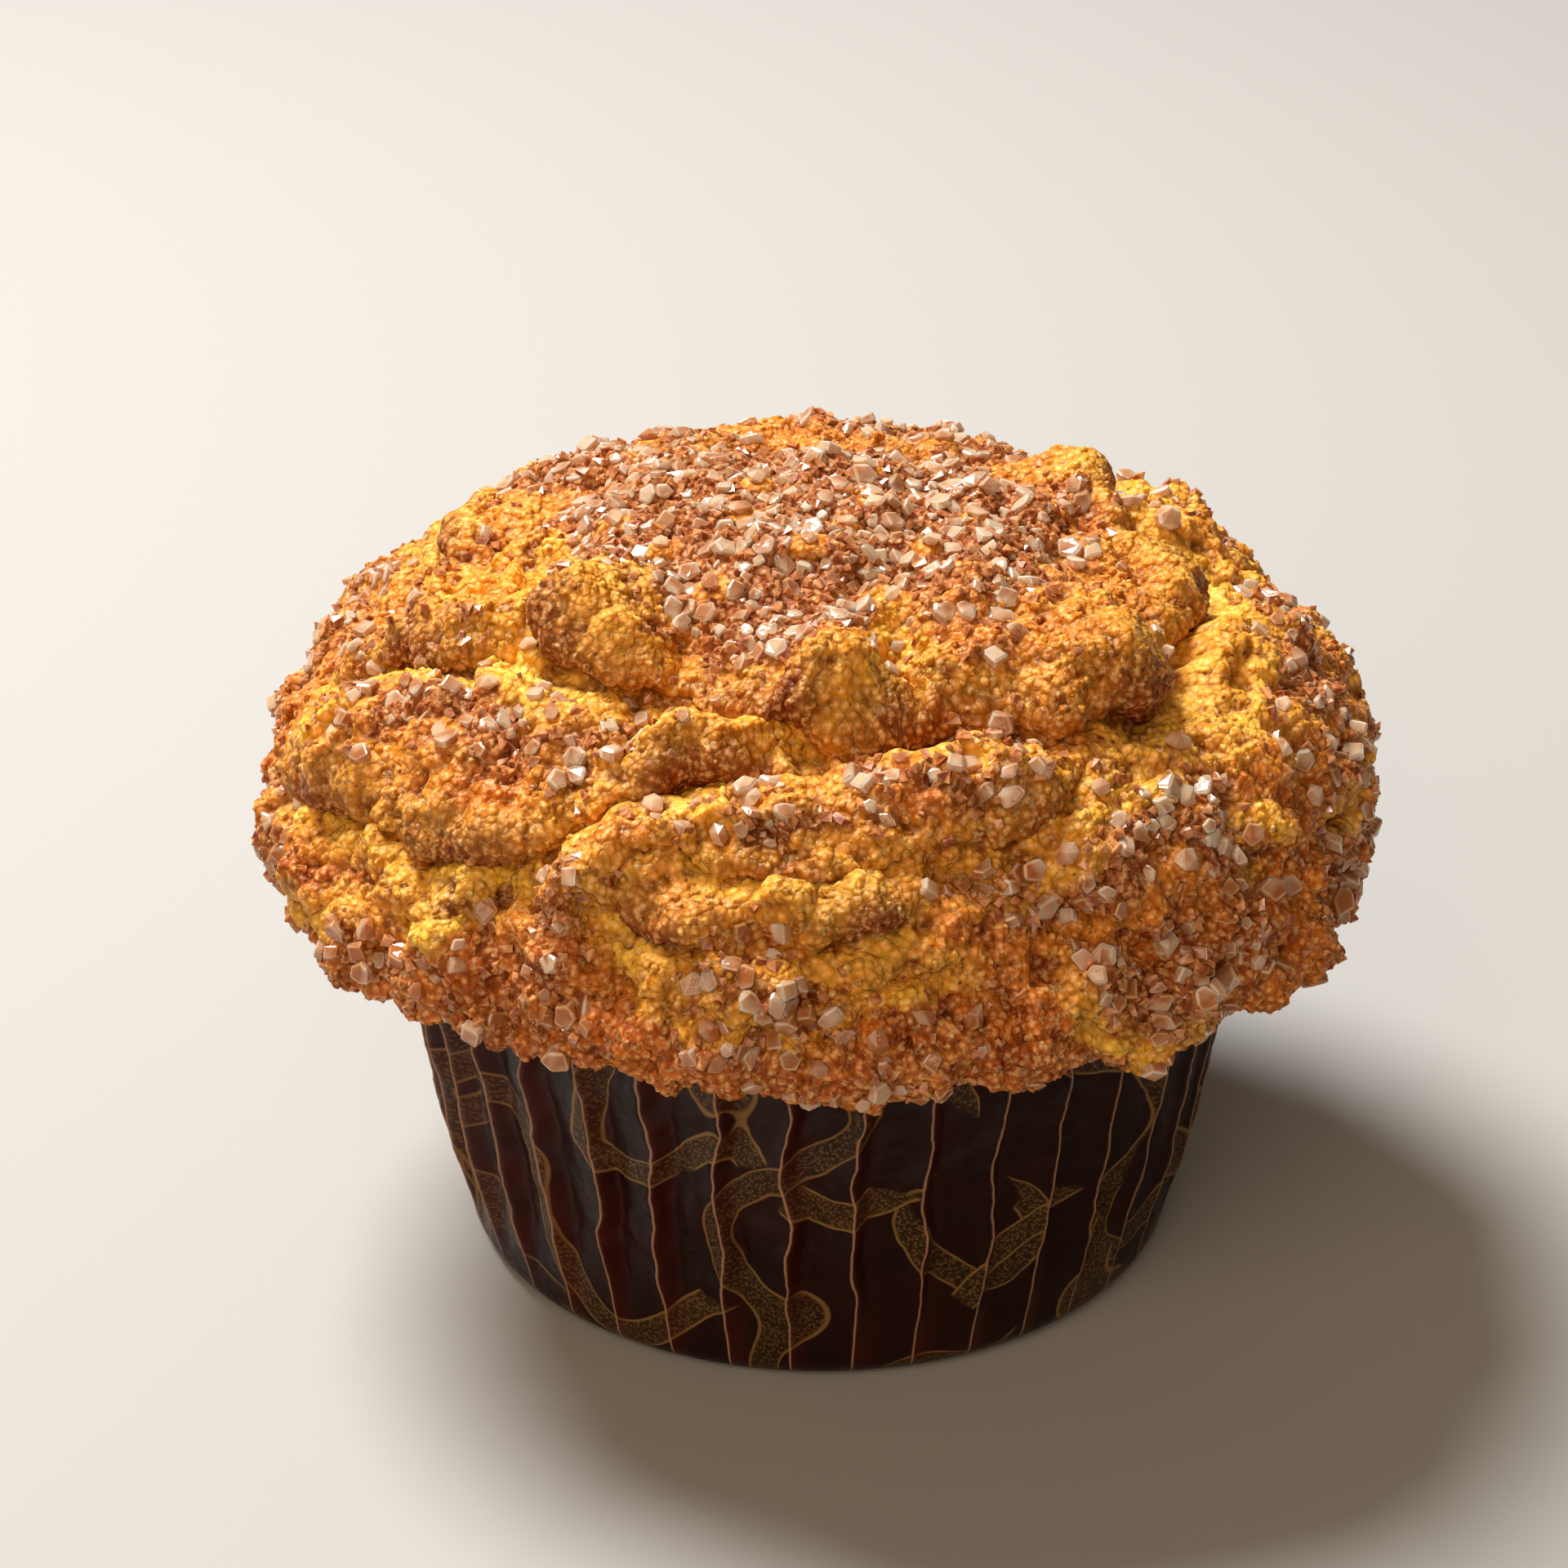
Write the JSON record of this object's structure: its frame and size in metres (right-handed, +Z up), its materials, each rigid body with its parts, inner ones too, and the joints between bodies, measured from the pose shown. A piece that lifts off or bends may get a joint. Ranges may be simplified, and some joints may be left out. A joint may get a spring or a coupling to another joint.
{
  "type": "muffin",
  "caption": "Large sugar-topped bakery muffin with a cracked, spreading crown, standing in a fluted paper baking case.",
  "frame": {"origin": "the middle of the flat underside of the paper case, which the muffin stands on", "axes": "+Z up through the crown; -Y is the side that the main view looks at; +X to that view's right"},
  "size_m": [0.1049, 0.1063, 0.0771],
  "materials": {
    "baked_crumb": "matte",
    "greaseproof_paper": "satin",
    "coarse_sugar": "gloss"
  },
  "bodies": {
    "root": {"muffin": "baked_crumb", "paper_case": "greaseproof_paper", "sugar_crystal_01": "coarse_sugar", "sugar_crystal_02": "coarse_sugar", "sugar_crystal_03": "coarse_sugar", "sugar_crystal_04": "coarse_sugar", "sugar_crystal_05": "coarse_sugar", "sugar_crystal_06": "coarse_sugar", "sugar_crystal_07": "coarse_sugar", "sugar_crystal_08": "coarse_sugar", "sugar_crystal_09": "coarse_sugar", "sugar_crystal_10": "coarse_sugar", "sugar_crystal_11": "coarse_sugar", "sugar_crystal_12": "coarse_sugar", "sugar_crystal_13": "coarse_sugar", "sugar_crystal_14": "coarse_sugar", "sugar_crystal_15": "coarse_sugar", "sugar_crystal_16": "coarse_sugar", "sugar_crystal_17": "coarse_sugar", "sugar_crystal_18": "coarse_sugar", "sugar_crystal_19": "coarse_sugar", "sugar_crystal_20": "coarse_sugar", "sugar_crystal_21": "coarse_sugar", "sugar_crystal_22": "coarse_sugar", "sugar_crystal_23": "coarse_sugar", "sugar_crystal_24": "coarse_sugar", "sugar_crystal_25": "coarse_sugar", "sugar_crystal_26": "coarse_sugar", "sugar_crystal_27": "coarse_sugar", "sugar_crystal_28": "coarse_sugar", "sugar_crystal_29": "coarse_sugar", "sugar_crystal_30": "coarse_sugar", "sugar_crystal_31": "coarse_sugar", "sugar_crystal_32": "coarse_sugar", "sugar_crystal_33": "coarse_sugar", "sugar_crystal_34": "coarse_sugar", "sugar_crystal_35": "coarse_sugar", "sugar_crystal_36": "coarse_sugar", "sugar_crystal_37": "coarse_sugar", "sugar_crystal_38": "coarse_sugar", "sugar_crystal_39": "coarse_sugar", "sugar_crystal_40": "coarse_sugar", "sugar_crystal_41": "coarse_sugar", "sugar_crystal_42": "coarse_sugar", "sugar_crystal_43": "coarse_sugar", "sugar_crystal_44": "coarse_sugar", "sugar_crystal_45": "coarse_sugar", "sugar_crystal_46": "coarse_sugar", "sugar_crystal_47": "coarse_sugar"}
  },
  "joints": []
}
